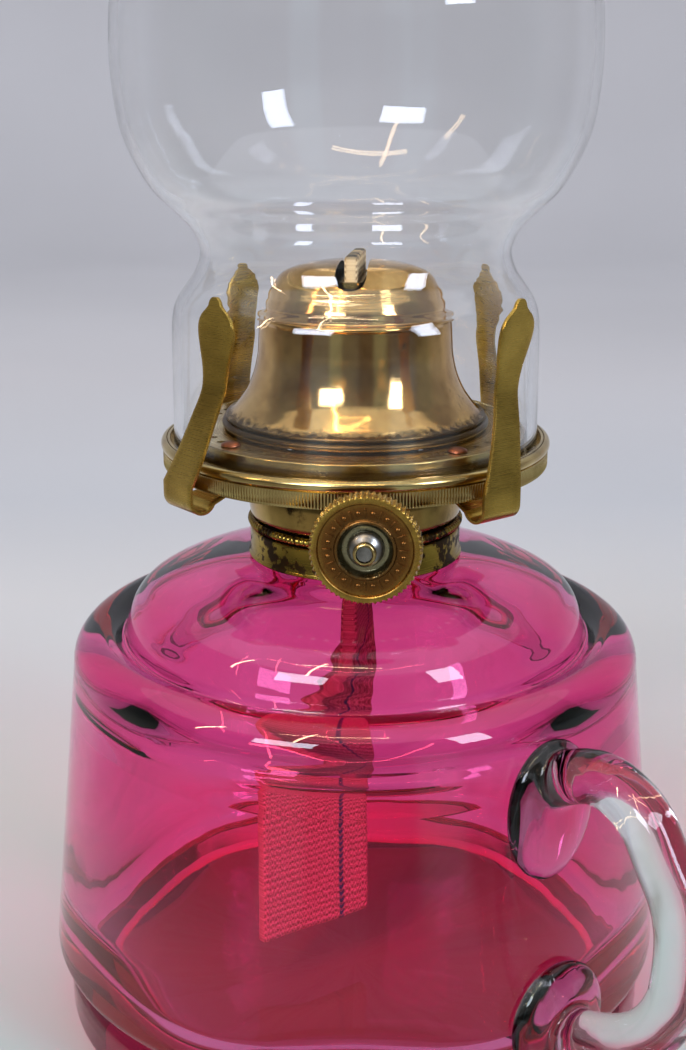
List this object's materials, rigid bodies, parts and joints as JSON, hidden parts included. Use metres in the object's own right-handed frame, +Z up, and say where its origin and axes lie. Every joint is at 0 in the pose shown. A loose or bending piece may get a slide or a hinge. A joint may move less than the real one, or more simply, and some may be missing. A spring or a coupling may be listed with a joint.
{
  "type": "finger lamp",
  "caption": "Small oil lamp with a cranberry glass font, an applied clear finger handle, a flat-wick brass burner with spring prongs and a clear glass bulb chimney.",
  "frame": {"origin": "middle of the flat base, on the surface that the lamp stands on", "axes": "+Z up along the lamp; +X out through the finger handle; the knob points 41 degrees from +X towards -Y"},
  "size_m": [0.1421, 0.1134, 0.3106],
  "materials": {
    "cranberry_glass": "fire polished",
    "clear_glass": "fire polished",
    "polished_brass": "handled, lightly tarnished",
    "aged_brass": "patinated",
    "steel": "worn",
    "cotton": "woven",
    "plaster": "cast plaster"
  },
  "bodies": {
    "font_body": {"font": "cranberry_glass", "finger_handle": "clear_glass", "font_collar": "polished_brass", "collar_cement": "plaster"},
    "screw_body": {"screw_ring": "aged_brass"},
    "burner_body": {"burner_bowl": "aged_brass", "air_basket": "aged_brass", "air_plate": "polished_brass", "gallery": "polished_brass", "gallery_band": "polished_brass", "wick_tube": "polished_brass", "vent_tube": "polished_brass", "lift_box": "polished_brass", "spindle_sleeve": "polished_brass", "deflector": "polished_brass", "prong_rivet_1": "aged_brass", "prong_rivet_2": "aged_brass", "prong_rivet_3": "aged_brass", "prong_rivet_4": "aged_brass"},
    "knob_body": {"spindle": "steel", "lift_wheel_1": "polished_brass", "lift_wheel_2": "polished_brass", "lift_wheel_3": "polished_brass", "knob": "aged_brass", "knob_boss": "steel", "knob_ferrule": "polished_brass"},
    "wick_body": {"wick": "cotton"},
    "chimney_body": {"chimney": "clear_glass"},
    "prong_1_body": {"prong_1": "polished_brass"},
    "prong_2_body": {"prong_2": "polished_brass"},
    "prong_3_body": {"prong_3": "polished_brass"},
    "prong_4_body": {"prong_4": "polished_brass"}
  },
  "joints": [
    {"name": "burner_rise", "type": "slide", "parent": "font_body", "child": "screw_body", "axis": [0, 0, 1], "range_m": [0, 0.00361]},
    {"name": "burner_unscrew", "type": "hinge", "parent": "screw_body", "child": "burner_body", "pos_m": [0, 0, 0.0935], "axis": [0, 0, 1], "range_deg": [0, 720]},
    {"name": "knob_turn", "type": "hinge", "parent": "burner_body", "child": "knob_body", "pos_m": [0.00302, 0.00347, 0.1005], "axis": [-0.7547, 0.6561, 0], "range_deg": [-109, 217]},
    {"name": "wick_raise", "type": "slide", "parent": "burner_body", "child": "wick_body", "axis": [0, 0, 1], "range_m": [-0.006, 0.012]},
    {"name": "chimney_lift", "type": "slide", "parent": "burner_body", "child": "chimney_body", "axis": [0, 0, 1], "range_m": [0, 0.09]},
    {"name": "prong_1_flex", "type": "hinge", "parent": "burner_body", "child": "prong_1_body", "pos_m": [0.00138, -0.02636, 0.1096], "axis": [0.9986, 0.0523, 0], "range_deg": [0, 4], "stiffness_Nm_per_rad": 0.03, "springref_deg": -1.15},
    {"name": "prong_2_flex", "type": "hinge", "parent": "burner_body", "child": "prong_2_body", "pos_m": [0.02639, 0.00069, 0.1096], "axis": [-0.0262, 0.9997, 0], "range_deg": [0, 4], "stiffness_Nm_per_rad": 0.03, "springref_deg": -1.15},
    {"name": "prong_3_flex", "type": "hinge", "parent": "burner_body", "child": "prong_3_body", "pos_m": [-0.00138, 0.02636, 0.1096], "axis": [-0.9986, -0.0523, 0], "range_deg": [0, 4], "stiffness_Nm_per_rad": 0.03, "springref_deg": -1.15},
    {"name": "prong_4_flex", "type": "hinge", "parent": "burner_body", "child": "prong_4_body", "pos_m": [-0.02626, -0.00276, 0.1096], "axis": [0.1045, -0.9945, 0], "range_deg": [0, 4], "stiffness_Nm_per_rad": 0.03, "springref_deg": -1.15}
  ],
  "couplings": [
    {"joint": "burner_rise", "follows": "burner_unscrew", "m_per_rad": 0.00028648},
    {"joint": "knob_turn", "follows": "wick_raise", "rad_per_m": 312.5}
  ]
}
